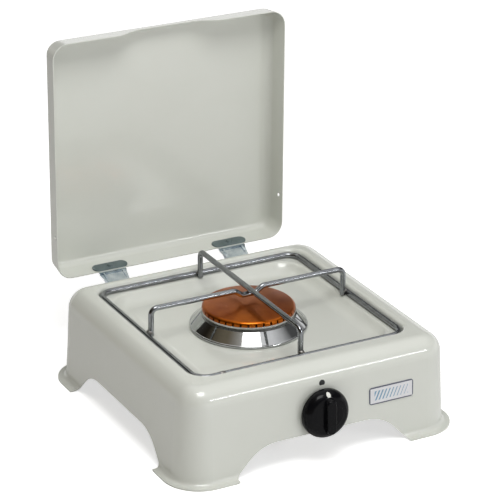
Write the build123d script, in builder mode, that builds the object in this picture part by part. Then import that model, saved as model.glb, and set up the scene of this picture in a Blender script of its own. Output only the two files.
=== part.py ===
from build123d import *
import os
from math import atan2, cos, degrees, radians, sin, tan

# A one-burner table stove with a hinged lid, in millimetres, +Z up, front towards -Y.
# The origin is on the table, under the centre of the whole stove's box with its lid open.
# The pressed shell has drafted walls, so what is fastened to a wall stands square to that wall.

# Pressed shell
body_width = 300.0  # at half height
body_depth = 297.0  # at half height
body_height = 100.0
body_y = -18.88  # centre of the shell
sheet = 1.0
draft = 3.0  # degrees, walls wider at the table
corner_radius = 28.0  # in plan, at half height
crown_radius = 20.0  # between the walls and the top
foot_flange = 8.5  # how far the feet turn outwards
foot_hem = 2.0  # thickness of the folded edge under the feet
foot_bend = 5.0
arch_height = 30.5
arch_foot = 96.5  # from the middle of a side to a foot, on the table
arch_angle = 48.0  # degrees, slope of the arch beside a foot
arch_radius = 45.0

# Well in the top
burner_y = body_y + 6.0  # the burner and the grate stand a little behind the middle
seat_z = 92.0  # shoulder that carries the grate
floor_z = 82.0
mouth_radius = 5.0
seat_gap = 0.8  # between the grate's ring and the wall of its seat
shoulder_width = 6.0  # from the ring's wire centre to the dish
shoulder_radius = 4.0
dish_slope = 45.0  # degrees
dish_radius = 20.0
dish_corner = 26.0
burner_hole_radius = 40.0

# Screws and rivets
screw_radius = 2.0  # every screw, and the rivets of the lid
slot_length = 5.0  # of the cross in a screw's head
slot_width = 0.9
burner_head_radius = 3.5
burner_head_height = 2.2
burner_nut_radius = 4.0
burner_nut_height = 3.2
tap_head_radius = 3.6
tap_head_height = 2.0
tap_screw_x = 15.0
lid_rivet_head = 3.6
hinge_rivet_radius = 1.6
hinge_rivet_head = 3.0
rivet_head_height = 1.2
hinge_rivet_z = 49.0
hinge_rivet_x = 6.0

# Grate
wire_radius = 2.9
grate_width = 234.0  # between wire centres
grate_depth = 229.0
grate_corner = 15.0
grate_z = seat_z + wire_radius + 0.1
arm_rise = 27.6
arm_bend = 7.0
leg_inset = 5.6  # leg centre inside the ring's wire centre, pressed together by the weld
dip_half_width = 16.0

# Burner
rim_z = 100.5  # where the cap rests on the burner
rim_lip = 1.8  # thickness of the rim's edge
neck_radius = 45.2  # groove under the rim
collar_z = 95.7  # top of the drip ring's collar
collar_bore = 48.6
cap_radius = 48.3
cap_edge_z = 105.8
cap_crown_z = 109.4
port_count = 38
port_width = 1.9
drip_radius = 61.0
roll_radius = 1.7  # the drip ring's rolled edge
roll_z = floor_z + roll_radius + 0.1
tube_radius = 12.0
tube_bore = 10.0
throat_radius = 15.0
burner_bolt_radius = 49.5
burner_flange_radius = 54.0
flange_thickness = 3.0
mouth_depth = 62.0  # tube's open end, behind the front wall
port_depth = 69.0  # middle of the tube's air ports
air_port_width = 8.0
air_port_length = 7.0
shutter_thickness = 1.2
shutter_length = 13.0
shutter_tab = 5.0

# Tap and knob, along the tap's axis from the wall's outer face
knob_z = 52.0
push_travel = 3.0
knob_base = 3.5
knob_radius = 25.4
knob_face_radius = 19.5
knob_height = 21.0
mark_place = 21.9  # white mark, from the knob's axis
mark_radius = 2.2
mark_depth = 9.6
stem_radius = 3.0
stem_flat = 15.0  # length of the stem in front of the wall
collar_radius = 5.2
tongue_width = 5.6  # of the stem's end, in the plug's slot
tongue_thickness = 2.0
gas_bore = 2.5
plug_bore = 1.6
boss_radius = 7.0  # side boss of the tap
spring_wire = 0.4
spring_radius = 4.4
spring_turns = 5
tap_radius = 11.0
plug_radius = 8.0
running = 0.05  # radial clearance of a running fit

# Gas inlet
pipe_x = 112.0
pipe_radius = 4.0
nozzle_radius = 6.0
nozzle_hex = 10.0  # corner radius
nozzle_hex_length = 6.0
nozzle_back = -16.0  # inner end
nozzle_bore = 2.6
pipe_insert = 7.0  # how far the pipe goes into the nozzle
tail_radius = 4.5
tail_length = 22.0

# Lid, standing open
lid_width = 265.0  # at the panel
lid_height = 255.5
lid_depth = 27.3
lid_back_y = body_y + 208.0
lid_bottom_z = 92.5
lid_sheet = 0.8
lid_flare = 3.2  # how much wider each side is at its free edge
lid_corner = 14.0
lid_bend = 8.0
notch_depth = 14.0
hang_place = 20.0  # small hole in each side, from the panel
hang_height = 43.5

# Hinges
hinge_x = 72.0
hinge_y = body_y + 156.1
hinge_z = 76.0
hinge_width = 24.0  # over the cheeks
web_width = 31.5
web_reach = 2.8  # how far the web stands out in front of the rim
hinge_sheet = 1.5
pin_radius = 2.0
ear_radius = 6.0
ramp_low_y = hinge_y + 4.9  # front sheet of the bracket, between the web and the pin
ramp_low_z = hinge_z + 6.3
hinge_gap = 0.4

os.makedirs("parts", exist_ok=True)


def finish(piece, label):
    """Names a finished piece and writes its STEP file."""
    piece.part.label = label
    export_step(piece.part, f"parts/{label}.step")


def wall_reach(z):
    """How far a drafted wall stands outside its half-height place, at height z."""
    return (body_height / 2 - z) * tan(radians(draft))


def wall_plane(x, z, side):
    """Plane on the wall's outer face, square to it: side is -1 for the front, +1 for the rear."""
    y = body_y + side * (body_depth / 2 + wall_reach(z))
    outwards = (0, side * cos(radians(draft)), sin(radians(draft)))
    return Plane(origin=(x, y, z), x_dir=(-side, 0, 0), z_dir=outwards)


tap = wall_plane(0, knob_z, -1)
wall_back = -sheet * cos(radians(draft))  # the wall's inner face, from its outer face


# ---------------------------------------------------------------- shell


def shell_form(inset):
    """Outside block of the shell, shrunk by inset, with its crown and its turned-out feet."""
    skirt = wall_reach(0) - inset
    hem_top = foot_hem if inset == 0 else 0
    with BuildPart() as form:
        with BuildSketch(Plane((0, body_y, 0))):
            RectangleRounded(body_width + 2 * skirt, body_depth + 2 * skirt, corner_radius + skirt)
        extrude(amount=body_height - inset, taper=draft)
        fillet(form.faces().sort_by(Axis.Z)[-1].edges(), crown_radius - inset)
        with BuildSketch(Plane((0, body_y, hem_top))):
            wide = 2 * (skirt + foot_flange + 8 + inset)
            RectangleRounded(body_width + wide, body_depth + wide, corner_radius + wide / 2)
        extrude(amount=-hem_top - 4)
        ledge = form.faces().filter_by(Plane.XY).filter_by_position(Axis.Z, hem_top - 0.1, hem_top + 0.1)
        fillet(ledge.sort_by(SortBy.AREA)[-1].inner_wires()[0].edges(), foot_bend + inset)
    return form.part


def well_form(grow):
    """The air above the well, grown by grow on every face, so that it also backs the sheet."""
    seat_width = grate_width + 2 * (wire_radius + seat_gap + grow)
    seat_depth = grate_depth + 2 * (wire_radius + seat_gap + grow)
    seat_corner = grate_corner + wire_radius + seat_gap + grow
    dish_width = grate_width - 2 * shoulder_width + 2 * grow
    dish_depth = grate_depth - 2 * shoulder_width + 2 * grow
    with BuildPart() as form:
        with BuildSketch(Plane((0, burner_y, seat_z - grow))):
            RectangleRounded(dish_width, dish_depth, dish_corner + grow)
        extrude(amount=-(seat_z - floor_z), taper=dish_slope)
        fillet(form.faces().sort_by(Axis.Z)[0].edges(), dish_radius + grow)
        with BuildSketch(Plane((0, burner_y, seat_z - grow))):
            RectangleRounded(seat_width, seat_depth, seat_corner)
        extrude(amount=body_height - seat_z)
        shoulder = form.faces().filter_by(Plane.XY).filter_by_position(
            Axis.Z, seat_z - grow - 0.1, seat_z - grow + 0.1
        )
        fillet(shoulder.sort_by(SortBy.AREA)[-1].inner_wires()[0].edges(), shoulder_radius - grow)
        with BuildSketch(Plane((0, burner_y, body_height - grow))):
            RectangleRounded(seat_width + 24, seat_depth + 24, seat_corner + 12)
        extrude(amount=10)
        mouth = form.faces().filter_by(Plane.XY).filter_by_position(
            Axis.Z, body_height - grow - 0.1, body_height - grow + 0.1
        )
        fillet(mouth.sort_by(SortBy.AREA)[-1].inner_wires()[0].edges(), mouth_radius - grow)
    return form.part


def arch_cut(plane, reach):
    """The arch between two feet, cut both ways from a plane through the shell's centre."""
    run = arch_height / tan(radians(arch_angle))
    with BuildPart() as cut:
        with BuildSketch(plane):
            with BuildLine():
                FilletPolyline(
                    (-arch_foot - 10, -9),
                    (-arch_foot + run, arch_height),
                    (arch_foot - run, arch_height),
                    (arch_foot + 10, -9),
                    radius=arch_radius,
                )
                Line((-arch_foot - 10, -9), (arch_foot + 10, -9))
            make_face()
        extrude(amount=reach, both=True)
    return cut.part


inner_air = shell_form(sheet) - well_form(sheet)
tap_nose_radius = 7.5
inlet_depth = 30.0
inlet = tap.offset(-inlet_depth).origin
# the pipe runs back square to the rear wall, so it climbs as that wall leans
lean = tan(radians(draft))
rear_foot = body_y + body_depth / 2 + body_height / 2 * lean
fitting_z = (inlet.Z + (rear_foot - inlet.Y) * lean) / (1 + lean**2)
fitting = wall_plane(pipe_x, fitting_z, 1)
hinge_xs = {"left": -hinge_x, "right": hinge_x}

with BuildPart() as body_shell:
    add(shell_form(0))
    add(inner_air, mode=Mode.SUBTRACT)
    add(well_form(0), mode=Mode.SUBTRACT)
    hem = 2 * (wall_reach(0) + foot_flange)
    with BuildSketch(Plane((0, body_y, 0))):
        RectangleRounded(body_width + hem, body_depth + hem, corner_radius + hem / 2)
    extrude(amount=body_height + 5, mode=Mode.INTERSECT)
    add(arch_cut(Plane((0, body_y, 0), x_dir=(1, 0, 0), z_dir=(0, -1, 0)), body_depth), mode=Mode.SUBTRACT)
    add(arch_cut(Plane((0, body_y, 0), x_dir=(0, 1, 0), z_dir=(1, 0, 0)), body_width), mode=Mode.SUBTRACT)
    # the burner's hole and its three screws in the well's floor
    with BuildSketch(Plane((0, burner_y, floor_z))):
        Circle(burner_hole_radius)
        with PolarLocations(burner_bolt_radius, 3, start_angle=90):
            Circle(screw_radius)
    extrude(amount=4, both=True, mode=Mode.SUBTRACT)
    # the tap's nose and its two screws in the front wall
    with BuildSketch(tap):
        Circle(tap_nose_radius + 0.4)
        with Locations((-tap_screw_x, 0), (tap_screw_x, 0)):
            Circle(screw_radius)
    extrude(amount=4, both=True, mode=Mode.SUBTRACT)
    # the gas inlet in the rear wall
    with BuildSketch(fitting):
        Circle(nozzle_radius)
    extrude(amount=4, both=True, mode=Mode.SUBTRACT)
    # two rivets for each hinge
    for x in hinge_xs.values():
        with BuildSketch(wall_plane(x, hinge_rivet_z, 1)):
            with Locations((-hinge_rivet_x, 0), (hinge_rivet_x, 0)):
                Circle(hinge_rivet_radius)
        extrude(amount=4, both=True, mode=Mode.SUBTRACT)
finish(body_shell, "body_shell")

with BuildPart() as nameplate:
    with BuildSketch(wall_plane(79, 54.8, -1)):
        RectangleRounded(51, 18.5, 3)
    extrude(amount=0.6)
    fillet(nameplate.faces().sort_by(Axis.Y)[0].edges(), 0.25)
finish(nameplate, "nameplate")


# ---------------------------------------------------------------- grate

with BuildPart() as grate_ring:
    with BuildSketch(Plane((0, burner_y, grate_z)), mode=Mode.PRIVATE) as ring_outline:
        RectangleRounded(grate_width, grate_depth, grate_corner)
    ring_line = ring_outline.sketch.faces()[0].outer_wire()
    with BuildSketch(Plane(ring_line.position_at(0), z_dir=ring_line.tangent_at(0))):
        Circle(wire_radius)
    sweep(path=ring_line)
finish(grate_ring, "grate_ring")


def grate_arm(plane, half_span, dips):
    """One wire bent down into two legs, with a dip in its middle if it passes under the other."""
    foot = -wire_radius + 1.0
    points = [(-half_span, foot), (-half_span, arm_rise)]
    if dips:
        low = arm_rise - 2 * wire_radius
        points += [(-dip_half_width, arm_rise), (-dip_half_width / 2, low)]
        points += [(dip_half_width / 2, low), (dip_half_width, arm_rise)]
    points += [(half_span, arm_rise), (half_span, foot)]
    with BuildPart() as arm:
        with BuildLine(plane) as arm_line:
            FilletPolyline(*points, radius=arm_bend)
        with BuildSketch(Plane(arm_line.wires()[0].position_at(0), z_dir=(0, 0, 1))):
            Circle(wire_radius)
        sweep(path=arm_line.wires()[0])
    return arm


long_arm = grate_arm(
    Plane((0, burner_y, grate_z), x_dir=(0, 1, 0), z_dir=(1, 0, 0)), grate_depth / 2 - leg_inset, False
)
finish(long_arm, "grate_long_arm")
cross_arm = grate_arm(
    Plane((0, burner_y, grate_z), x_dir=(1, 0, 0), z_dir=(0, -1, 0)), grate_width / 2 - leg_inset, True
)
finish(cross_arm, "grate_cross_arm")


# ---------------------------------------------------------------- burner

profile_plane = Plane((0, burner_y, 0), x_dir=(1, 0, 0), z_dir=(0, -1, 0))
burner_axis = Axis((0, burner_y, 0), (0, 0, 1))
# the mixing tube lies on the tap's axis, which passes under the middle of the burner
throat_depth = (burner_y - tap.origin.Y) / cos(radians(draft))
throat_z = knob_z - (burner_y - tap.origin.Y) * tan(radians(draft))

with BuildPart() as drip_ring:
    with BuildSketch(profile_plane):
        with BuildLine():
            Polyline(
                (drip_radius - roll_radius, roll_z + 0.8),
                (collar_bore + 0.7, collar_z - 1.1),
                (collar_bore + 0.7, collar_z - 4.2),
                (collar_bore, collar_z - 4.2),
                (collar_bore, collar_z),
                (collar_bore + 0.8, collar_z),
                (drip_radius - 0.9, roll_z + 1.1),
                (drip_radius - roll_radius, roll_z + 0.8),
            )
        make_face()
        with Locations((drip_radius - roll_radius, roll_z)):
            Circle(roll_radius)
    revolve(axis=burner_axis)
finish(drip_ring, "drip_ring")

with BuildPart() as burner_base:
    with BuildSketch(profile_plane):
        with BuildLine():
            Polyline(
                (0, throat_z - throat_radius),
                (throat_radius, throat_z - throat_radius),
                (throat_radius, 60),
                (20, 65),
                (38.4, 76),
                (38.4, floor_z),
                (burner_flange_radius, floor_z),
                (burner_flange_radius, floor_z + flange_thickness),
                (41.5, floor_z + flange_thickness),
                (46.5, 88.5),
                (collar_bore - 0.4, 90.5),
                (collar_bore - 0.4, collar_z - 1.2),
                (neck_radius, collar_z - 0.2),
                (neck_radius, rim_z - rim_lip - 0.9),
                (cap_radius, rim_z - rim_lip),
                (cap_radius, rim_z),
                (0, rim_z),
                (0, throat_z - throat_radius),
            )
        make_face()
    revolve(axis=burner_axis)
    fillet(burner_base.edges().group_by(Axis.Z)[0], 3)
    with BuildSketch(tap.offset(-mouth_depth)):
        Circle(tube_radius)
    extrude(amount=-(throat_depth - mouth_depth))
    # the gas way: along the tube, up the throat and into the cup
    with BuildSketch(profile_plane):
        with BuildLine():
            Polyline(
                (0, throat_z - tube_bore),
                (tube_bore, throat_z - tube_bore),
                (12, throat_z),
                (12, 62),
                (17, 68),
                (35, 79),
                (41.8, 89),
                (41.8, rim_z + 1),
                (0, rim_z + 1),
                (0, throat_z - tube_bore),
            )
        make_face()
    revolve(axis=burner_axis, mode=Mode.SUBTRACT)
    with BuildSketch(tap.offset(-mouth_depth)):
        Circle(tube_bore)
    extrude(amount=-(throat_depth - mouth_depth), mode=Mode.SUBTRACT)
    # two air ports near the tube's mouth
    with BuildSketch(Plane(tap.offset(-port_depth).origin, x_dir=(1, 0, 0), z_dir=tap.y_dir)):
        Rectangle(air_port_width, air_port_length)
    extrude(amount=tube_radius + 1, both=True, mode=Mode.SUBTRACT)
    with BuildSketch(Plane((0, burner_y, floor_z))):
        with PolarLocations(burner_bolt_radius, 3, start_angle=90):
            Circle(screw_radius)
    extrude(amount=flange_thickness + 1, mode=Mode.SUBTRACT)
finish(burner_base, "burner_base")

with BuildPart() as burner_cap:
    with BuildSketch(profile_plane):
        with BuildLine():
            top = ThreePointArc((0, cap_crown_z), (23, cap_crown_z - 0.9), (45.4, cap_edge_z))
            edge = ThreePointArc(top @ 1, (47.7, cap_edge_z - 1.6), (cap_radius, cap_edge_z - 4))
            Polyline(
                edge @ 1,
                (cap_radius, rim_z),
                (42.4, rim_z),
                (42.4, rim_z + 4),
                (41.4, rim_z + 4),
                (41.4, rim_z - 4),
                (39.4, rim_z - 4),
                (39.4, rim_z + 4.4),
                (0, rim_z + 6.5),
                (0, cap_crown_z),
            )
        make_face()
    revolve(axis=burner_axis)
    with BuildSketch(Plane((0, burner_y, rim_z - 1))):
        with PolarLocations(cap_radius - 1.5, port_count, start_angle=180 / port_count):
            Rectangle(10, port_width)
    extrude(amount=4.6, mode=Mode.SUBTRACT)
finish(burner_cap, "burner_cap")

with BuildPart() as air_shutter:
    with BuildSketch(tap.offset(-mouth_depth - 1)):
        Circle(tube_radius + running + shutter_thickness)
        Circle(tube_radius + running, mode=Mode.SUBTRACT)
    extrude(amount=-shutter_length)
    with BuildSketch(Plane(tap.offset(-port_depth).origin, x_dir=(1, 0, 0), z_dir=tap.y_dir)):
        Rectangle(air_port_width, air_port_length)
    extrude(amount=tube_radius + 3, both=True, mode=Mode.SUBTRACT)
    with BuildSketch(Plane(tap.offset(-mouth_depth - 4).origin, x_dir=(0, 0, 1), z_dir=(1, 0, 0))):
        Rectangle(shutter_tab, shutter_tab)
    tab = extrude(amount=tube_radius + 9, mode=Mode.PRIVATE)
    with BuildSketch(tap.offset(-mouth_depth + 1)):
        Circle(tube_radius + running + shutter_thickness / 2)
    core = extrude(amount=-20, mode=Mode.PRIVATE)
    add(tab - core)
finish(air_shutter, "air_shutter")

flange_top = floor_z + flange_thickness
with BuildPart() as burner_screws:
    with BuildSketch(Plane((0, burner_y, floor_z - 7))):
        with PolarLocations(burner_bolt_radius, 3, start_angle=90):
            Circle(screw_radius)
    extrude(amount=flange_thickness + 7)
    with BuildSketch(Plane((0, burner_y, flange_top))):
        with PolarLocations(burner_bolt_radius, 3, start_angle=90):
            Circle(burner_head_radius)
    extrude(amount=burner_head_height)
    with BuildSketch(Plane((0, burner_y, flange_top + burner_head_height))):
        with PolarLocations(burner_bolt_radius, 3, start_angle=90):
            Rectangle(slot_length, slot_width)
            Rectangle(slot_width, slot_length)
    extrude(amount=-burner_head_height / 2, mode=Mode.SUBTRACT)
finish(burner_screws, "burner_screws")

with BuildPart() as burner_nuts:
    with BuildSketch(Plane((0, burner_y, floor_z - sheet - burner_nut_height))):
        with PolarLocations(burner_bolt_radius, 3, start_angle=90):
            RegularPolygon(burner_nut_radius, 6)
            Circle(screw_radius, mode=Mode.SUBTRACT)
    extrude(amount=burner_nut_height)
finish(burner_nuts, "burner_nuts")


# ---------------------------------------------------------------- tap, knob and gas way

cover_thickness = 3.0
cover_back = wall_back - cover_thickness
tap_back = -40.0
tap_hex = 8.0  # corner radius and length
pipe_socket = 14.0  # where the pipe ends inside the tap's side boss
bore_end = -38.0
plug_front = -18.0
stem_back = -14.3
collar_face = cover_back - 0.1
collar_thickness = 2.0

with BuildPart() as tap_cover:
    with BuildSketch(tap.offset(wall_back)):
        SlotCenterToCenter(2 * tap_screw_x, 17)
        Circle(13)
    extrude(amount=-cover_thickness)
    with BuildSketch(tap.offset(wall_back)):
        Circle(tap_nose_radius)
    extrude(amount=sheet + 0.6)
    with BuildSketch(tap.offset(wall_back - 4)):
        Circle(stem_radius + running)
        with Locations((-tap_screw_x, 0), (tap_screw_x, 0)):
            Circle(screw_radius)
    extrude(amount=8, mode=Mode.SUBTRACT)
finish(tap_cover, "tap_cover")

with BuildPart() as tap_screws:
    with BuildSketch(tap.offset(wall_back - 4.5)):
        with Locations((-tap_screw_x, 0), (tap_screw_x, 0)):
            Circle(screw_radius)
    extrude(amount=4.5 - wall_back)
    with BuildSketch(tap):
        with Locations((-tap_screw_x, 0), (tap_screw_x, 0)):
            Circle(tap_head_radius)
    extrude(amount=tap_head_height)
    with BuildSketch(tap.offset(tap_head_height)):
        with Locations((-tap_screw_x, 0), (tap_screw_x, 0)):
            Rectangle(slot_length, slot_width)
            Rectangle(slot_width, slot_length)
    extrude(amount=-tap_head_height / 2, mode=Mode.SUBTRACT)
finish(tap_screws, "tap_screws")

with BuildPart() as tap_body:
    with BuildSketch(tap.offset(cover_back)):
        Circle(tap_radius)
    extrude(amount=tap_back - cover_back)
    with BuildSketch(tap.offset(tap_back)):
        RegularPolygon(tap_hex, 6)
    extrude(amount=-tap_hex)
    with BuildSketch(Plane(inlet, x_dir=tap.y_dir, z_dir=(1, 0, 0))):
        Circle(boss_radius)
    extrude(amount=pipe_socket + 6)
    with BuildSketch(tap.offset(cover_back + 1)):
        Circle(plug_radius + running)
    extrude(amount=bore_end - cover_back - 1, mode=Mode.SUBTRACT)
    with BuildSketch(tap.offset(bore_end + 1)):
        Circle(gas_bore)
    extrude(amount=-14, mode=Mode.SUBTRACT)
    with BuildSketch(Plane(inlet, x_dir=tap.y_dir, z_dir=(1, 0, 0))):
        Circle(gas_bore)
    extrude(amount=pipe_socket + 8, mode=Mode.SUBTRACT)
    with BuildSketch(Plane(inlet + Vector(pipe_socket, 0, 0), x_dir=tap.y_dir, z_dir=(1, 0, 0))):
        Circle(pipe_radius)
    extrude(amount=10, mode=Mode.SUBTRACT)
finish(tap_body, "tap_body")

with BuildPart() as tap_plug:
    with BuildSketch(tap.offset(bore_end + 0.3)):
        Circle(plug_radius)
    extrude(amount=plug_front - bore_end - 0.3)
    with BuildSketch(tap.offset(plug_front)):
        Rectangle(tongue_width + 0.8, tongue_thickness + 0.2)
    extrude(amount=-7.5, mode=Mode.SUBTRACT)
    with BuildSketch(tap.offset(-inlet_depth)):
        Circle(plug_bore)
    extrude(amount=-10, mode=Mode.SUBTRACT)
    with BuildSketch(Plane(tap.offset(-inlet_depth - 1).origin, x_dir=tap.y_dir, z_dir=(1, 0, 0))):
        Circle(plug_bore)
    extrude(amount=10, mode=Mode.SUBTRACT)
finish(tap_plug, "tap_plug")

with BuildPart() as tap_stem:
    with BuildSketch(tap.offset(stem_back)):
        Circle(stem_radius)
    extrude(amount=3 - stem_back)
    with BuildSketch(tap.offset(3)):
        Circle(stem_radius)
        with Locations((0, stem_radius)):
            Rectangle(8, 2, mode=Mode.SUBTRACT)
    extrude(amount=stem_flat - 3)
    with BuildSketch(tap.offset(collar_face)):
        Circle(collar_radius)
    extrude(amount=-collar_thickness)
    with BuildSketch(tap.offset(stem_back)):
        Rectangle(tongue_width, tongue_thickness)
    extrude(amount=-7)
finish(tap_stem, "tap_stem")

spring_front = collar_face - collar_thickness - 0.1
spring_back = plug_front + 0.1
with BuildPart() as return_spring:
    spring_length = spring_front - spring_back - 2 * spring_wire
    with BuildLine() as coil:
        Helix(
            pitch=spring_length / spring_turns,
            height=spring_length,
            radius=spring_radius,
            center=tap.offset(spring_back + spring_wire).origin,
            direction=tap.z_dir,
        )
    with BuildSketch(Plane(coil.line @ 0, z_dir=coil.line % 0)):
        Circle(spring_wire)
    sweep(path=coil.line, is_frenet=True)
finish(return_spring, "return_spring")

injector_back = tap_back - tap_hex
with BuildPart() as injector:
    with BuildSketch(tap.offset(injector_back)):
        RegularPolygon(5, 6)
    extrude(amount=-4)
    with BuildSketch(tap.offset(injector_back - 4)):
        Circle(3.4)
    extrude(amount=-5, taper=12)
    with BuildSketch(tap.offset(injector_back)):
        Circle(gas_bore)
    extrude(amount=5)
    with BuildSketch(tap.offset(injector_back + 6)):
        Circle(1.4)
    extrude(amount=-12.5, mode=Mode.SUBTRACT)
    with BuildSketch(tap.offset(injector_back - 2)):
        Circle(0.4)
    extrude(amount=-10, mode=Mode.SUBTRACT)
finish(injector, "injector")

knob_section = Plane(tap.origin, x_dir=(1, 0, 0), z_dir=-tap.y_dir)
with BuildPart(mode=Mode.PRIVATE) as knob_dome:
    with BuildSketch(knob_section):
        with BuildLine():
            skirt = Line((knob_radius, knob_base), (knob_radius, knob_base + 2.6))
            dome = ThreePointArc(skirt @ 1, (23.9, 10.6), (knob_face_radius, 14.6))
            Polyline(
                dome @ 1,
                (14, 15.6),
                (0, 15.6),
                (0, 9.0),
                (20.0, 9.0),
                (23.0, knob_base),
                (knob_radius, knob_base),
            )
        make_face()
    revolve(axis=Axis(tap.origin, tap.z_dir))

with BuildPart() as knob:
    add(knob_dome.part)
    # the grip across the face
    with BuildSketch(tap.offset(12.0)):
        SlotOverall(2 * knob_face_radius, 13.0, rotation=90)
    extrude(amount=knob_height - 12.0, taper=9)
    fillet(knob.faces().sort_by(Axis.Y)[0].edges(), 1.6)
    # boss for the stem, with a flat
    with BuildSketch(tap.offset(knob_base + 1.2)):
        Circle(6.5)
    extrude(amount=9.5 - knob_base - 1.2)
    with BuildSketch(tap.offset(knob_base)):
        Circle(stem_radius)
        with Locations((0, stem_radius)):
            Rectangle(8, 2, mode=Mode.SUBTRACT)
    extrude(amount=stem_flat - knob_base, mode=Mode.SUBTRACT)
    # pocket for the white mark
    with BuildSketch(tap.offset(mark_depth)):
        with Locations((0, mark_place)):
            Circle(mark_radius)
    extrude(amount=8, mode=Mode.SUBTRACT)
finish(knob, "knob")

with BuildPart() as knob_mark:
    with BuildSketch(tap.offset(mark_depth)):
        with Locations((0, mark_place)):
            Circle(mark_radius)
    extrude(amount=8)
    add(knob_dome.part, mode=Mode.INTERSECT)
finish(knob_mark, "knob_mark")

# the pipe runs along the front, turns back and leaves square to the rear wall
pipe_start = inlet + Vector(pipe_socket, 0, 0)
pipe_corner = Vector(pipe_x, inlet.Y, inlet.Z)
pipe_end = fitting.offset(nozzle_back + pipe_insert).origin
with BuildPart() as gas_pipe:
    with BuildLine() as pipe_line:
        FilletPolyline(pipe_start, pipe_corner, pipe_end, radius=24)
    with BuildSketch(Plane(pipe_line.line @ 0, z_dir=pipe_line.line % 0)):
        Circle(pipe_radius)
        Circle(pipe_radius - 1, mode=Mode.SUBTRACT)
    sweep(path=pipe_line.line)
finish(gas_pipe, "gas_pipe")

with BuildPart() as hose_nozzle:
    with BuildSketch(fitting.offset(nozzle_back)):
        Circle(nozzle_radius)
    extrude(amount=-nozzle_back)
    with BuildSketch(fitting):
        RegularPolygon(nozzle_hex, 6)
    extrude(amount=nozzle_hex_length)
    with BuildSketch(fitting.offset(nozzle_hex_length)):
        Circle(tail_radius)
    extrude(amount=tail_length)
    chamfer(hose_nozzle.edges().group_by(Axis(fitting.origin, fitting.z_dir))[-1], 0.8)
    with BuildSketch(fitting.offset(nozzle_back)):
        Circle(pipe_radius)
    extrude(amount=pipe_insert, mode=Mode.SUBTRACT)
    with BuildSketch(fitting.offset(nozzle_back)):
        Circle(nozzle_bore)
    extrude(amount=nozzle_hex_length + tail_length - nozzle_back, mode=Mode.SUBTRACT)
finish(hose_nozzle, "hose_nozzle")

with BuildPart() as inlet_nut:
    with BuildSketch(fitting.offset(wall_back)):
        RegularPolygon(nozzle_hex, 6)
        Circle(nozzle_radius, mode=Mode.SUBTRACT)
    extrude(amount=-5)
finish(inlet_nut, "inlet_nut")


# ---------------------------------------------------------------- lid

lid_plane = Plane((0, lid_back_y, lid_bottom_z + lid_height / 2), x_dir=(1, 0, 0), z_dir=(0, -1, 0))
flare = degrees(atan2(lid_flare, lid_depth))


def tray_form(inset):
    """Block of the lid, shrunk by inset, opening towards the front."""
    with BuildPart() as form:
        with BuildSketch(lid_plane.offset(inset)):
            RectangleRounded(lid_width - 2 * inset, lid_height - 2 * inset, lid_corner - inset)
        extrude(amount=lid_depth + (0.01 if inset else 0), taper=-flare)
        fillet(form.faces().sort_by(Axis.Y)[-1].edges(), lid_bend - inset)
    return form.part


# the lid's hinge rim leans, so its hinge plates lie on a plane along the rim's outer face
plate_place = 20.5  # middle of the plates, from the lid's panel
rim_slope = atan2(lid_flare, lid_depth)
rim_mid = Vector(0, lid_back_y - plate_place, lid_bottom_z - plate_place * tan(rim_slope))
rim_out = Vector(0, sin(rim_slope), -cos(rim_slope))
plate_length = 13.0
rivet_plate_width = 40.5
rivet_plate_sheet = 1.5
plate_face = -lid_sheet - 0.1 - rivet_plate_sheet


def rim_plane(x):
    """Plane on the outer face of the lid's hinge rim, facing away from the lid."""
    return Plane(rim_mid + Vector(x, 0, 0), x_dir=(1, 0, 0), z_dir=rim_out)


with BuildPart() as lid:
    add(tray_form(0))
    add(tray_form(lid_sheet), mode=Mode.SUBTRACT)
    # finger notch in the front edge, which is the top one while the lid stands open
    with BuildSketch(Plane((0, lid_back_y - lid_depth, 400), x_dir=(1, 0, 0), z_dir=(0, 0, 1))):
        with BuildLine():
            FilletPolyline(
                (-76, -0.02),
                (-57, -0.02),
                (-34, notch_depth),
                (34, notch_depth),
                (57, -0.02),
                (76, -0.02),
                radius=20,
            )
            Polyline((76, -0.02), (76, -8), (-76, -8), (-76, -0.02))
        make_face()
    extrude(amount=-80, mode=Mode.SUBTRACT)
    # small hanging hole in each side
    with BuildSketch(Plane((0, lid_back_y - hang_place, lid_bottom_z + hang_height), x_dir=(0, 1, 0), z_dir=(1, 0, 0))):
        Circle(2.0)
    extrude(amount=lid_width, both=True, mode=Mode.SUBTRACT)
    # one hole in the hinge rim for each hinge
    for x in hinge_xs.values():
        with BuildSketch(rim_plane(x).offset(2)):
            Circle(screw_radius)
        extrude(amount=-6, mode=Mode.SUBTRACT)
finish(lid, "lid")


# ---------------------------------------------------------------- hinges

crown_y = body_y + body_depth / 2 + wall_reach(body_height - crown_radius) - crown_radius
crown_z = body_height - crown_radius


def turned_open(y, z):
    """Where a point that is beside the shell while the lid is closed lies with the lid open."""
    return (hinge_y + (z - hinge_z), hinge_z - (y - hinge_y))


def side_plane(x):
    """Plane of a hinge cheek, with its own axes along +Y and +Z."""
    return Plane((x, 0, 0), x_dir=(0, 1, 0), z_dir=(1, 0, 0))


base_outer = hinge_width / 2 - hinge_sheet - hinge_gap
base_skin = hinge_sheet / cos(radians(draft))
base_top_z = 79.0
base_low_z = 42.0
ear_foot_z = 58.0
pin_head_radius = 3.6
pin_head_height = 1.2


def rear_wall(z):
    """Outer face of the rear wall at height z."""
    return body_y + body_depth / 2 + wall_reach(z)


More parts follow.
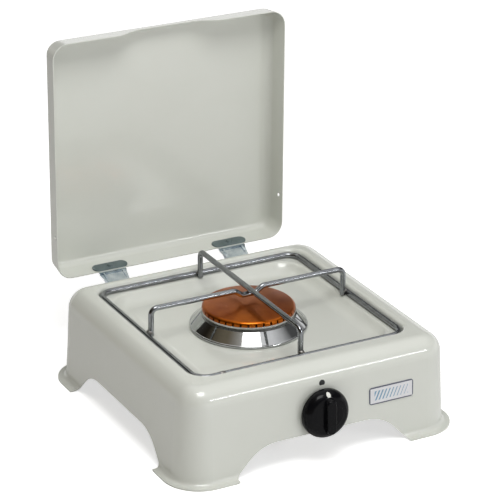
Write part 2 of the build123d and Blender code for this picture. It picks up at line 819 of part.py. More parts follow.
for side_name, x in hinge_xs.items():
    rim_face = rim_plane(x)
    web_front = rim_face.from_local_coords((0, plate_length / 2 + web_reach, 0))
    web_back = rim_face.from_local_coords((0, -plate_length / 2, 0))

    # zinc bracket on the lid: a web under the rim, a front sheet and two cheeks down to the pin
    with BuildPart() as bracket:
        with BuildSketch(rim_face):
            with Locations((0, web_reach / 2)):
                Rectangle(web_width, plate_length + web_reach)
        extrude(amount=hinge_sheet)
        ramp = Vector(0, web_front.Y - ramp_low_y, web_front.Z - hinge_sheet - ramp_low_z)
        ramp_face = Plane((x, ramp_low_y, ramp_low_z), x_dir=(1, 0, 0), z_dir=(0, -ramp.Z, ramp.Y))
        with BuildSketch(ramp_face):
            with BuildLine():
                Polyline(
                    (-hinge_width / 2, 0),
                    (hinge_width / 2, 0),
                    (web_width / 2, ramp.length + 1),
                    (-web_width / 2, ramp.length + 1),
                    (-hinge_width / 2, 0),
                )
            make_face()
        extrude(amount=-hinge_sheet)
        for cheek_side in (-1, 1):
            with BuildSketch(side_plane(x + cheek_side * (hinge_width / 2 - hinge_sheet / 2))):
                with Locations((hinge_y, hinge_z)):
                    Circle(ear_radius)
                with BuildLine():
                    Polyline(
                        (web_front.Y, web_front.Z),
                        (web_back.Y, web_back.Z),
                        (hinge_y + 0.64 * ear_radius, hinge_z - 0.77 * ear_radius),
                        (hinge_y - 0.77 * ear_radius, hinge_z + 0.64 * ear_radius),
                        (web_front.Y, web_front.Z),
                    )
                make_face()
                with Locations(turned_open(crown_y, crown_z)):
                    Circle(crown_radius + 1.7, mode=Mode.SUBTRACT)
                with Locations((hinge_y, hinge_z)):
                    Circle(pin_radius + running, mode=Mode.SUBTRACT)
            extrude(amount=hinge_sheet / 2, both=True)
        with BuildSketch(rim_face):
            Circle(screw_radius)
        extrude(amount=4, mode=Mode.SUBTRACT)
    finish(bracket, f"lid_bracket_{side_name}")

    # grey plate inside the rim, and the rivet through all three
    with BuildPart() as plate:
        with BuildSketch(rim_face.offset(-lid_sheet - 0.1)):
            SlotOverall(rivet_plate_width, plate_length)
            Circle(screw_radius, mode=Mode.SUBTRACT)
        extrude(amount=-rivet_plate_sheet)
        fillet(plate.faces().sort_by(Axis.Z)[-1].outer_wire().edges(), 0.6)
    finish(plate, f"rivet_plate_{side_name}")

    with BuildPart() as rivet:
        with BuildSketch(rim_face.offset(hinge_sheet)):
            Circle(lid_rivet_head)
        extrude(amount=rivet_head_height)
        with BuildSketch(rim_face.offset(plate_face)):
            Circle(screw_radius)
        extrude(amount=hinge_sheet - plate_face)
        with BuildSketch(rim_face.offset(plate_face)):
            Circle(lid_rivet_head)
        extrude(amount=-1.5 * rivet_head_height, taper=30)
    finish(rivet, f"lid_rivet_{side_name}")

    # channel riveted to the rear wall, whose ears hold the pin
    with BuildPart() as base:
        with BuildSketch(side_plane(x)):
            with BuildLine():
                Polyline(
                    (rear_wall(base_top_z), base_top_z),
                    (rear_wall(base_top_z) + base_skin, base_top_z),
                    (rear_wall(base_low_z) + base_skin, base_low_z),
                    (rear_wall(base_low_z), base_low_z),
                    (rear_wall(base_top_z), base_top_z),
                )
            make_face()
        extrude(amount=base_outer, both=True)
        for ear_side in (-1, 1):
            with BuildSketch(side_plane(x + ear_side * (base_outer - hinge_sheet / 2))):
                with Locations((hinge_y, hinge_z)):
                    Circle(ear_radius)
                with BuildLine():
                    Polyline(
                        (rear_wall(base_top_z), base_top_z),
                        (hinge_y, hinge_z + ear_radius),
                        (hinge_y + ear_radius, hinge_z),
                        (rear_wall(ear_foot_z), ear_foot_z),
                        (rear_wall(base_top_z), base_top_z),
                    )
                make_face()
                with Locations((hinge_y, hinge_z)):
                    Circle(pin_radius, mode=Mode.SUBTRACT)
            extrude(amount=hinge_sheet / 2, both=True)
        with BuildSketch(wall_plane(x, hinge_rivet_z, 1)):
            with Locations((-hinge_rivet_x, 0), (hinge_rivet_x, 0)):
                Circle(hinge_rivet_radius)
        extrude(amount=4, mode=Mode.SUBTRACT)
    finish(base, f"hinge_base_{side_name}")

    pin_half = hinge_width / 2 + hinge_gap
    with BuildPart() as pin:
        with BuildSketch(side_plane(x).offset(-pin_half)):
            with Locations((hinge_y, hinge_z)):
                Circle(pin_radius)
        extrude(amount=2 * pin_half)
        for head_at in (-pin_half - pin_head_height, pin_half):
            with BuildSketch(side_plane(x).offset(head_at)):
                with Locations((hinge_y, hinge_z)):
                    Circle(pin_head_radius)
            extrude(amount=pin_head_height)
    finish(pin, f"hinge_pin_{side_name}")

with BuildPart() as hinge_rivets:
    for x in hinge_xs.values():
        rear = wall_plane(x, hinge_rivet_z, 1)
        spots = ((-hinge_rivet_x, 0), (hinge_rivet_x, 0))
        with BuildSketch(rear.offset(hinge_sheet)):
            with Locations(*spots):
                Circle(hinge_rivet_head)
        extrude(amount=rivet_head_height)
        with BuildSketch(rear.offset(wall_back)):
            with Locations(*spots):
                Circle(hinge_rivet_radius)
        extrude(amount=hinge_sheet - wall_back)
        with BuildSketch(rear.offset(wall_back)):
            with Locations(*spots):
                Circle(hinge_rivet_head)
        extrude(amount=-rivet_head_height)
finish(hinge_rivets, "hinge_rivets")
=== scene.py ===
"""Looks of a one-burner table stove with a hinged lid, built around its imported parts."""

import logging
import math
from dataclasses import dataclass, field
from enum import Enum

import bpy
import numpy as np
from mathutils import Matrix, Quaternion, Vector


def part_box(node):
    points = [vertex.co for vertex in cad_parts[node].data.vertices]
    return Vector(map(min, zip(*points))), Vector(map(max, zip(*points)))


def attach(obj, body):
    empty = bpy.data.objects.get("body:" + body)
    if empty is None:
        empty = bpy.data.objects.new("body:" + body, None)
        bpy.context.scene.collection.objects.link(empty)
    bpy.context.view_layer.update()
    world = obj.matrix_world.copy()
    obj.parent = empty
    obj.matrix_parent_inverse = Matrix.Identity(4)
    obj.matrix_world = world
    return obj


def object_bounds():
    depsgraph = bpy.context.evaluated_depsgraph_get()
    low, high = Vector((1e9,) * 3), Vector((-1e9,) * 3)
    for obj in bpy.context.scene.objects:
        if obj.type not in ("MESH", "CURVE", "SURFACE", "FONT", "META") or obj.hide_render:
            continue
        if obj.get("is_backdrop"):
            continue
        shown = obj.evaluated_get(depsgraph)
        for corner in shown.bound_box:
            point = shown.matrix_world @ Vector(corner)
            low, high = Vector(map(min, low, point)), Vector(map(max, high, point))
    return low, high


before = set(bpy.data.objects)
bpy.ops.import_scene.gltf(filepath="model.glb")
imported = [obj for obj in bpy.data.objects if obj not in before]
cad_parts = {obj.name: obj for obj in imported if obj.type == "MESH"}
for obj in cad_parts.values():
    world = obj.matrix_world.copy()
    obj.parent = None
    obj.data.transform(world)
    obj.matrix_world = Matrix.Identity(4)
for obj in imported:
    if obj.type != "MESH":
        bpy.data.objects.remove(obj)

log = logging.getLogger("camping_stove")

Colour = tuple[float, float, float]
Point = tuple[float, float, float]

# Factor, A and B of a Mix node that mixes colours, and its Result, by their order on the node.
MIX_INPUTS = (0, 6, 7)
MIX_RESULT = 2


# ------------------------------------------------------------------ shader graphs


class Graph:
    """A node tree with short calls for adding nodes and joining them."""

    def __init__(self, tree: bpy.types.NodeTree) -> None:
        """Wraps the tree.

        Args:
            tree: The material's or group's node tree.
        """
        self.tree = tree

    def add(self, kind: str, **values: object) -> bpy.types.Node:
        """Adds one node.

        Args:
            kind: Its Blender type name, such as "ShaderNodeTexNoise".
            **values: Settings of the node; a name that is an input's, with _ for a space, sets that input.

        Returns:
            The new node.
        """
        node = self.tree.nodes.new(kind)
        for name, value in values.items():
            socket = node.inputs.get(name.replace("_", " "))
            if socket is None:
                setattr(node, name, value)
            else:
                socket.default_value = value
        return node

    def join(self, source: bpy.types.NodeSocket, target: bpy.types.NodeSocket) -> None:
        """Links an output to an input."""
        self.tree.links.new(source, target)

    def maths(self, operation: str, *terms: object) -> bpy.types.NodeSocket:
        """Adds a Math node.

        Args:
            operation: Name of the operation, such as "MULTIPLY".
            *terms: Up to three numbers or output sockets.

        Returns:
            The node's result.
        """
        node = self.tree.nodes.new("ShaderNodeMath")
        node.operation = operation
        for socket, term in zip(node.inputs, terms):
            if isinstance(term, bpy.types.NodeSocket):
                self.join(term, socket)
            else:
                socket.default_value = float(term)
        return node.outputs[0]

    def blend(self, share: object, first: object, second: object) -> bpy.types.NodeSocket:
        """Mixes two colours.

        Args:
            share: Share of the second, a number or a socket.
            first: A colour or a socket.
            second: A colour or a socket.

        Returns:
            The mixed colour.
        """
        node = self.tree.nodes.new("ShaderNodeMix")
        node.data_type = "RGBA"
        for index, value in zip(MIX_INPUTS, (share, first, second)):
            socket = node.inputs[index]
            if isinstance(value, bpy.types.NodeSocket):
                self.join(value, socket)
            elif isinstance(value, (tuple, list)):
                socket.default_value = (*value[:3], 1.0)
            else:
                socket.default_value = float(value)
        return node.outputs[MIX_RESULT]


class Effect(Enum):
    """Effects that several finishes share, each one node group."""

    RIPPLE = "surface_ripple"
    MOTTLE = "handled_mottle"
    GRAIN = "drawn_grain"


class EffectGroups:
    """Builds each shared node group once and places it in a material.

    Attributes:
        FINE_RATIO: How many times finer the ripple's second wave is than its first.
        NOISE_MIDDLE: Middle value of a noise that runs from 0 to 1.
        MOTTLE_SWING: How far the mottle's share moves for one whole step of its noise.
    """

    FINE_RATIO = 7.3
    NOISE_MIDDLE = 0.5
    MOTTLE_SWING = 2.0

    def __init__(self) -> None:
        """Starts with no group built."""
        self.built: dict[Effect, bpy.types.NodeTree] = {}

    def tree(self, effect: Effect) -> bpy.types.NodeTree:
        """Gives the effect's node group, built on first use.

        Args:
            effect: Which effect.

        Returns:
            Its node group.
        """
        if effect not in self.built:
            makers = {
                Effect.RIPPLE: self._ripple,
                Effect.MOTTLE: self._mottle,
                Effect.GRAIN: self._grain,
            }
            self.built[effect] = makers[effect](bpy.data.node_groups.new(effect.value, "ShaderNodeTree"))
        return self.built[effect]

    def place(self, graph: Graph, effect: Effect, **values: object) -> bpy.types.Node:
        """Places an effect in a material.

        Args:
            graph: The material's graph.
            effect: Which effect.
            **values: Its inputs, with _ for a space.

        Returns:
            The group node.
        """
        node = graph.tree.nodes.new("ShaderNodeGroup")
        node.node_tree = self.tree(effect)
        for name, value in values.items():
            node.inputs[name.replace("_", " ")].default_value = value
        return node

    @staticmethod
    def _sockets(
        tree: bpy.types.NodeTree, inputs: dict[str, str], outputs: dict[str, str]
    ) -> tuple[bpy.types.Node, bpy.types.Node]:
        """Names a group's sockets.

        Args:
            tree: The group.
            inputs: Socket name to "Float" or "Color".
            outputs: The same for its outputs.

        Returns:
            Its input node and its output node.
        """
        for in_out, sockets in (("INPUT", inputs), ("OUTPUT", outputs)):
            for name, kind in sockets.items():
                tree.interface.new_socket(name, in_out=in_out, socket_type=f"NodeSocket{kind}")
        return tree.nodes.new("NodeGroupInput"), tree.nodes.new("NodeGroupOutput")

    def _ripple(self, tree: bpy.types.NodeTree) -> bpy.types.NodeTree:
        """Fills the ripple group, the height of a fired or moulded skin.

        height = slow wave + fine share x finer wave.

        Args:
            tree: The empty group.

        Returns:
            The same group.
        """
        start, end = self._sockets(tree, {"Scale": "Float", "Fine share": "Float"}, {"Height": "Float"})
        graph = Graph(tree)
        place = graph.add("ShaderNodeTexCoord").outputs["Object"]
        slow = graph.add("ShaderNodeTexNoise", Detail=1.0)
        fine = graph.add("ShaderNodeTexNoise", Detail=2.0)
        graph.join(place, slow.inputs["Vector"])
        graph.join(place, fine.inputs["Vector"])
        graph.join(start.outputs["Scale"], slow.inputs["Scale"])
        finer = graph.maths("MULTIPLY", start.outputs["Scale"], self.FINE_RATIO)
        graph.join(finer, fine.inputs["Scale"])
        small = graph.maths("MULTIPLY", fine.outputs["Fac"], start.outputs["Fine share"])
        graph.join(graph.maths("ADD", slow.outputs["Fac"], small), end.inputs["Height"])
        return tree

    def _mottle(self, tree: bpy.types.NodeTree) -> bpy.types.NodeTree:
        """Fills the mottle group, the colour and roughness of a handled surface.

        With n the noise less its middle, the second colour's share is share + swing x n, held between
        0 and 1, and the roughness is roughness + spread x n.

        Args:
            tree: The empty group.

        Returns:
            The same group.
        """
        colours = {"Color": "Color", "Second color": "Color"}
        numbers = {name: "Float" for name in ("Share", "Roughness", "Spread", "Scale")}
        start, end = self._sockets(tree, colours | numbers, {"Color": "Color", "Roughness": "Float"})
        graph = Graph(tree)
        place = graph.add("ShaderNodeTexCoord").outputs["Object"]
        cloud = graph.add("ShaderNodeTexNoise", Detail=4.0, Roughness=0.6)
        graph.join(place, cloud.inputs["Vector"])
        graph.join(start.outputs["Scale"], cloud.inputs["Scale"])
        centred = graph.maths("SUBTRACT", cloud.outputs["Fac"], self.NOISE_MIDDLE)
        share = graph.maths("MULTIPLY_ADD", centred, self.MOTTLE_SWING, start.outputs["Share"])
        held = graph.maths("MINIMUM", graph.maths("MAXIMUM", share, 0.0), 1.0)
        colour = graph.blend(held, start.outputs["Color"], start.outputs["Second color"])
        graph.join(colour, end.inputs["Color"])
        rough = graph.maths("MULTIPLY_ADD", centred, start.outputs["Spread"], start.outputs["Roughness"])
        graph.join(rough, end.inputs["Roughness"])
        return tree

    def _grain(self, tree: bpy.types.NodeTree) -> bpy.types.NodeTree:
        """Fills the grain group, the height of drawn or rolled metal.

        height = noise at (a X, b Y, c Z), for the stretches a, b and c.

        Args:
            tree: The empty group.

        Returns:
            The same group.
        """
        numbers = {name: "Float" for name in ("Scale", "Stretch X", "Stretch Y", "Stretch Z")}
        start, end = self._sockets(tree, numbers, {"Height": "Float"})
        graph = Graph(tree)
        parts = graph.add("ShaderNodeSeparateXYZ")
        graph.join(graph.add("ShaderNodeTexCoord").outputs["Object"], parts.inputs[0])
        whole = graph.add("ShaderNodeCombineXYZ")
        for axis in "XYZ":
            stretched = graph.maths("MULTIPLY", parts.outputs[axis], start.outputs[f"Stretch {axis}"])
            graph.join(stretched, whole.inputs[axis])
        noise = graph.add("ShaderNodeTexNoise", Detail=3.0)
        graph.join(whole.outputs[0], noise.inputs["Vector"])
        graph.join(start.outputs["Scale"], noise.inputs["Scale"])
        graph.join(noise.outputs["Fac"], end.inputs["Height"])
        return tree


EFFECTS = EffectGroups()


# ------------------------------------------------------------------ finishes


# Materials made so far, by the name of their finish.
MADE: dict[str, bpy.types.Material] = {}


@dataclass(frozen=True)
class Finish:
    """A plain finish: colour and roughness drift a little, and the skin ripples.

    Attributes:
        name: Its name.
        colour: Main colour.
        second_colour: Colour that the main one drifts to.
        share: Middle share of the second colour.
        roughness: Middle roughness.
        spread: Change of the roughness for one whole step of the noise.
        mottle_scale: Scale of the drift's noise.
        metallic: Metallic value of the shader.
        coat: Weight of the clear coat.
        coat_roughness: Its roughness.
        specular: Specular level of the shader.
        ripple_scale: Scale of the ripple's slow wave.
        fine_share: Share of its finer wave.
        ripple_depth: Distance of the bump, in metres.
        ripple_strength: Strength of the bump.
    """

    name: str
    colour: Colour
    second_colour: Colour
    share: float = 0.5
    roughness: float = 0.3
    spread: float = 0.06
    mottle_scale: float = 30.0
    metallic: float = 0.0
    coat: float = 0.0
    coat_roughness: float = 0.05
    specular: float = 0.5
    ripple_scale: float = 120.0
    fine_share: float = 0.1
    ripple_depth: float = 0.0002
    ripple_strength: float = 0.1

    def material(self) -> bpy.types.Material:
        """Gives the finish's material, made on first use.

        Returns:
            The material.
        """
        made = MADE.get(self.name)
        if made is None:
            made = MADE[self.name] = bpy.data.materials.new(f"{self.name}_finish")
            made.use_nodes = True
            shader = made.node_tree.nodes["Principled BSDF"]
            shader.inputs["Metallic"].default_value = self.metallic
            shader.inputs["Coat Weight"].default_value = self.coat
            shader.inputs["Specular IOR Level"].default_value = self.specular
            shader.inputs["Coat Roughness"].default_value = self.coat_roughness
            self.paint(Graph(made.node_tree), shader)
        return made

    def paint(self, graph: Graph, shader: bpy.types.Node) -> None:
        """Feeds the shader its colour, roughness and normal.

        Args:
            graph: The material's graph.
            shader: Its Principled BSDF.
        """
        mottle = EFFECTS.place(
            graph,
            Effect.MOTTLE,
            Color=(*self.colour, 1.0),
            Second_color=(*self.second_colour, 1.0),
            Share=self.share,
            Roughness=self.roughness,
            Spread=self.spread,
            Scale=self.mottle_scale,
        )
        graph.join(mottle.outputs["Color"], shader.inputs["Base Color"])
        graph.join(mottle.outputs["Roughness"], shader.inputs["Roughness"])
        bump = graph.add("ShaderNodeBump", Strength=self.ripple_strength, Distance=self.ripple_depth)
        graph.join(self.height(graph), bump.inputs["Height"])
        graph.join(bump.outputs["Normal"], shader.inputs["Normal"])

    def height(self, graph: Graph) -> bpy.types.NodeSocket:
        """Gives the height of the skin, for the bump.

        Args:
            graph: The material's graph.

        Returns:
            The height.
        """
        ripple = EFFECTS.place(graph, Effect.RIPPLE, Scale=self.ripple_scale, Fine_share=self.fine_share)
        return ripple.outputs["Height"]


@dataclass(frozen=True)
class DrawnMetal(Finish):
    """Metal with a grain along one axis.

    Attributes:
        stretch: Factors on X, Y and Z in the grain's noise; a small one draws the grain out along its axis.
        grain_scale: Scale of that noise.
    """

    stretch: Point = (1.0, 1.0, 1.0)
    grain_scale: float = 900.0

    def height(self, graph: Graph) -> bpy.types.NodeSocket:
        """Gives the height of the grain, for the bump.

        Args:
            graph: The material's graph.

        Returns:
            The height.
        """
        x, y, z = self.stretch
        grain = EFFECTS.place(
            graph, Effect.GRAIN, Scale=self.grain_scale, Stretch_X=x, Stretch_Y=y, Stretch_Z=z
        )
        return grain.outputs["Height"]


ENAMEL = Finish(
    "enamel", (0.685, 0.70, 0.645), (0.72, 0.735, 0.685), roughness=0.24, spread=0.04, mottle_scale=9.0,
    coat=0.6, coat_roughness=0.05, ripple_scale=45.0, ripple_depth=0.0003, ripple_strength=0.12,
)
COPPER_ENAMEL = Finish(
    "copper_enamel", (0.52, 0.130, 0.005), (0.25, 0.045, 0.002), roughness=0.30, spread=0.08,
    mottle_scale=28.0, metallic=0.9, coat=0.05, coat_roughness=0.08, ripple_scale=60.0, ripple_strength=0.2,
)
WIRE_CHROME = Finish(
    "chromed_wire", (0.33, 0.345, 0.36), (0.23, 0.235, 0.25), roughness=0.2, spread=0.08, mottle_scale=120.0,
    metallic=1.0, ripple_scale=300.0, ripple_depth=0.0001, ripple_strength=0.03,
)
MIRROR_CONE = Finish(
    "bright_cone", (0.56, 0.57, 0.57), (0.48, 0.49, 0.50), roughness=0.07, spread=0.05, mottle_scale=60.0,
    metallic=1.0, ripple_scale=70.0, ripple_depth=0.0002, ripple_strength=0.12,
)
CAST_ALLOY = Finish(
    "cast_alloy", (0.62, 0.62, 0.61), (0.52, 0.52, 0.51), roughness=0.36, spread=0.1, mottle_scale=150.0,
    metallic=1.0, ripple_scale=500.0, fine_share=0.4, ripple_strength=0.25,
)
BLACK_GLOSS = Finish(
    "black_plastic", (0.003, 0.003, 0.004), (0.005, 0.005, 0.006), roughness=0.14, spread=0.05,
    mottle_scale=60.0, specular=0.12,
)
WHITE_INLAY = Finish("white_mark", (0.85, 0.85, 0.80), (0.80, 0.80, 0.75), roughness=0.4, mottle_scale=200.0)
DOT_INK = Finish("dot_ink", (0.008, 0.010, 0.010), (0.012, 0.014, 0.014), roughness=0.35, mottle_scale=200.0)
ZINC_SHEET = DrawnMetal(
    "zinc_sheet", (0.86, 0.91, 0.95), (0.42, 0.50, 0.58), roughness=0.16, spread=0.1, mottle_scale=120.0,
    metallic=1.0, ripple_depth=0.0002, stretch=(0.1, 1.0, 1.0),
)
GREY_COAT = Finish(
    "grey_coat", (0.11, 0.15, 0.155), (0.17, 0.215, 0.22), roughness=0.38, spread=0.1, mottle_scale=120.0,
    metallic=0.4, ripple_scale=400.0,
)
PLATED_STEEL = Finish(
    "plated_steel", (0.52, 0.52, 0.50), (0.42, 0.42, 0.41), roughness=0.3, spread=0.1, mottle_scale=200.0,
    metallic=1.0, ripple_scale=500.0,
)
TAP_BRASS = Finish(
    "tap_brass", (0.62, 0.43, 0.18), (0.48, 0.31, 0.12), roughness=0.3, spread=0.1, mottle_scale=90.0,
    metallic=1.0, ripple_scale=300.0,
)
PIPE_PAINT = Finish(
    "pipe_paint", (0.10, 0.10, 0.105), (0.07, 0.07, 0.075), roughness=0.45, spread=0.1, mottle_scale=80.0,
    ripple_scale=200.0,
)
WELD_STEEL = Finish(
    "weld_steel", (0.30, 0.29, 0.28), (0.16, 0.15, 0.14), roughness=0.36, spread=0.15, mottle_scale=500.0,
    metallic=1.0, ripple_scale=900.0, fine_share=0.6, ripple_strength=0.4,
)


@dataclass(frozen=True)
class PlatePrint(Finish):
    """A foil plate with a thin border and a row of slanted bars, all worked out from distances on it.

    Attributes:
        centre: Middle of the plate.
        half_width: Half its width.
        half_height: Half its height.
        border: Width of the inked line inside the inset.
        inset: Width of the plate's rim, which is inked as well.
        lean: Factor on the height in a bar's place; below 0 the bars lean to the right.
        pitch: From one bar to the next.
        bar_share: Share of the pitch that a bar takes at the plate's middle.
        bar_taper: Change of that share for each metre to the right.
        row_half_height: Half the height of the row of bars.
        row_half_width: Half its width.
        ink: Colour of the border.
        tint: Colour of the bars.
    """

    centre: Point = (0.0, 0.0, 0.0)
    half_width: float = 0.0255
    half_height: float = 0.00925
    border: float = 0.0007
    inset: float = 0.0006
    lean: float = -0.45
    pitch: float = 0.0042
    bar_share: float = 0.30
    bar_taper: float = -9.0
    row_half_height: float = 0.0050
    row_half_width: float = 0.0195
    ink: Colour = (0.10, 0.11, 0.16)
    tint: Colour = (0.20, 0.36, 0.50)

    def paint(self, graph: Graph, shader: bpy.types.Node) -> None:
        """Feeds the shader the finish with the print over it.

        A point takes the ink where its distance from the plate's edge is below inset + border. With
        s = x + lean z, it takes the tint where the fraction of s / pitch is below bar_share + bar_taper s,
        within the row's half height and half width.

        Args:
            graph: The material's graph.
            shader: Its Principled BSDF.
        """
        super().paint(graph, shader)
        parts = graph.add("ShaderNodeSeparateXYZ")
        graph.join(graph.add("ShaderNodeTexCoord").outputs["Object"], parts.inputs[0])
        across = graph.maths("SUBTRACT", parts.outputs["X"], self.centre[0])
        up = graph.maths("SUBTRACT", parts.outputs["Z"], self.centre[2])
        edge_x = graph.maths("SUBTRACT", self.half_width, graph.maths("ABSOLUTE", across))
        edge_z = graph.maths("SUBTRACT", self.half_height, graph.maths("ABSOLUTE", up))
        near = graph.maths("SUBTRACT", graph.maths("MINIMUM", edge_x, edge_z), self.inset)
        frame_line = graph.maths("LESS_THAN", near, self.border)
        slant = graph.maths("MULTIPLY_ADD", up, self.lean, across)
        phase = graph.maths("FRACT", graph.maths("DIVIDE", slant, self.pitch))
        width = graph.maths("MULTIPLY_ADD", slant, self.bar_taper, self.bar_share)
        bars = graph.maths("LESS_THAN", phase, width)
        level = graph.maths("LESS_THAN", graph.maths("ABSOLUTE", up), self.row_half_height)
        reach = graph.maths("LESS_THAN", graph.maths("ABSOLUTE", across), self.row_half_width)
        pattern = graph.maths("MULTIPLY", graph.maths("MULTIPLY", bars, level), reach)
        base = shader.inputs["Base Color"].links[0].from_socket
        printed = graph.blend(pattern, base, self.tint)
        graph.join(graph.blend(frame_line, printed, self.ink), shader.inputs["Base Color"])


# ------------------------------------------------------------------ surfaces


def grid_faces(rows: int, columns: int, closed: bool) -> np.ndarray:
    """Quads of a grid of points: corner (i, j) is joined to (i, j+1), (i+1, j+1) and (i+1, j).

    Args:
        rows: Number of rows.
        columns: Number of columns.
        closed: Whether the last column joins the first.

    Returns:
        An array of quads, four indices each.
    """
    i = np.arange(rows - 1)[:, None]
    j = np.arange(columns if closed else columns - 1)[None, :]
    after_i, after_j = i + 1, (j + 1) % columns
    corners = (i * columns + j, i * columns + after_j, after_i * columns + after_j, after_i * columns + j)
    return np.stack([np.broadcast_to(c, (len(i), j.shape[1])) for c in corners], axis=-1).reshape(-1, 4)


def surface(name: str, points: np.ndarray, finish: Finish, body: str) -> bpy.types.Object:
    """Makes a smooth piece from a grid of points, closed round its columns, and sets it on its body.

    Args:
        name: The piece's name.
        points: Array of rows, columns and XYZ, in metres.
        finish: Its finish.
        body: Moving body that it rides on.

    Returns:
        The new object.
    """
    rows, columns, _ = points.shape
    mesh = bpy.data.meshes.new(name)
    faces = grid_faces(rows, columns, closed=True)
    mesh.from_pydata(points.reshape(-1, 3).tolist(), [], faces.tolist())
    mesh.polygons.foreach_set("use_smooth", np.ones(len(faces), bool))
    mesh.materials.append(finish.material())
    mesh.validate()
    piece = bpy.data.objects.new(name, mesh)
    bpy.context.scene.collection.objects.link(piece)
    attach(piece, body)
    return piece


def ball(centre: Point, radii: Point, rows: int = 13, columns: int = 24) -> np.ndarray:
    """An egg round a centre: x = a cos(t) cos(p), y = b cos(t) sin(p), z = c sin(t), for t from pole to pole.

    Args:
        centre: Middle of the egg.
        radii: a, b and c.
        rows: Points from pole to pole.
        columns: Points around.

    Returns:
        The grid of points.
    """
    t = np.linspace(-math.pi / 2, math.pi / 2, rows)[:, None]
    p = np.linspace(0, 2 * math.pi, columns, endpoint=False)[None, :]
    a, b, c = radii
    shape = (a * np.cos(t) * np.cos(p), b * np.cos(t) * np.sin(p), c * np.sin(t) + 0 * p)
    return np.stack(shape, axis=-1) + np.array(centre)


# ------------------------------------------------------------------ assemblies


@dataclass
class Assembly:
    """A sub-assembly of the stove.

    Attributes:
        finishes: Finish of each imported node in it.
    """

    finishes: dict[str, Finish] = field(default_factory=dict)

    def dress(self) -> None:
        """Puts each node's finish on every one of its material slots."""
        for node, finish in self.finishes.items():
            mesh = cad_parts[node].data
            if not mesh.materials:
                mesh.materials.append(None)
            for index in range(len(mesh.materials)):
                mesh.materials[index] = finish.material()

    def build(self) -> list[bpy.types.Object]:
        """Makes the sub-assembly's new pieces; most have none."""
        return []


@dataclass
class Shell(Assembly):
    """The pressed body with its plate and the printed dot above the knob.

    Attributes:
        body: Moving body that the dot rides on.
        dot_radius: Radius of the dot.
        dot_height: Height of its middle, with what is over the arc's centre measured along the arc.
        dot_rings: Rows of points from its middle to its edge.
        dot_corners: Points around it.
        crown_radius: Radius of the bend from the front wall to the top.
        draft: Lean of the walls.
        plate_sheet: Thickness of the plate.
        lift: Gap that keeps the dot clear of the shell.
    """

    body: str = "stove"
    dot_radius: float = 0.00325
    dot_height: float = 0.0820
    dot_rings: int = 6
    dot_corners: int = 40
    crown_radius: float = 0.020
    draft: float = math.radians(3.0)
    plate_sheet: float = 0.0006
    lift: float = 0.00006

    def __post_init__(self) -> None:
        """Sets the finishes, with the plate's print centred on the plate."""
        low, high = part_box("nameplate")
        plate = PlatePrint(
            "plate_print", (0.80, 0.80, 0.82), (0.74, 0.74, 0.77), roughness=0.3, metallic=0.3,
            centre=tuple((low + high) / 2),
        )
        self.finishes = {"body_shell": ENAMEL, "nameplate": plate}

    def build(self) -> list[bpy.types.Object]:
        """Makes the dot: a disc of rings laid on the crown above the front wall.

        A point lies on the crown's arc, y = y_c - r cos(a) and z = z_c + r sin(a), where a is the point's
        height over z_c, divided by the crown's radius, and r is that radius with the lift added.

        Returns:
            The dot.
        """
        plate_low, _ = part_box("nameplate")
        _, shell_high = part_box("body_shell")
        centre_z = shell_high.z - self.crown_radius
        lean_y = (centre_z - plate_low.z) * math.tan(self.draft)
        wall_y = plate_low.y + self.plate_sheet / math.cos(self.draft) + lean_y
        centre_y = wall_y + self.crown_radius / math.cos(self.draft)
        rings = np.linspace(0.0, self.dot_radius, self.dot_rings)[:, None]
        turn = np.linspace(0, 2 * math.pi, self.dot_corners, endpoint=False)[None, :]
        angle = (rings * np.sin(turn) + self.dot_height - centre_z) / self.crown_radius
        reach = self.crown_radius + self.lift
        disc = [rings * np.cos(turn), centre_y - reach * np.cos(angle), centre_z + reach * np.sin(angle)]
        return [surface("index_dot", np.stack(disc, axis=-1), DOT_INK, self.body)]


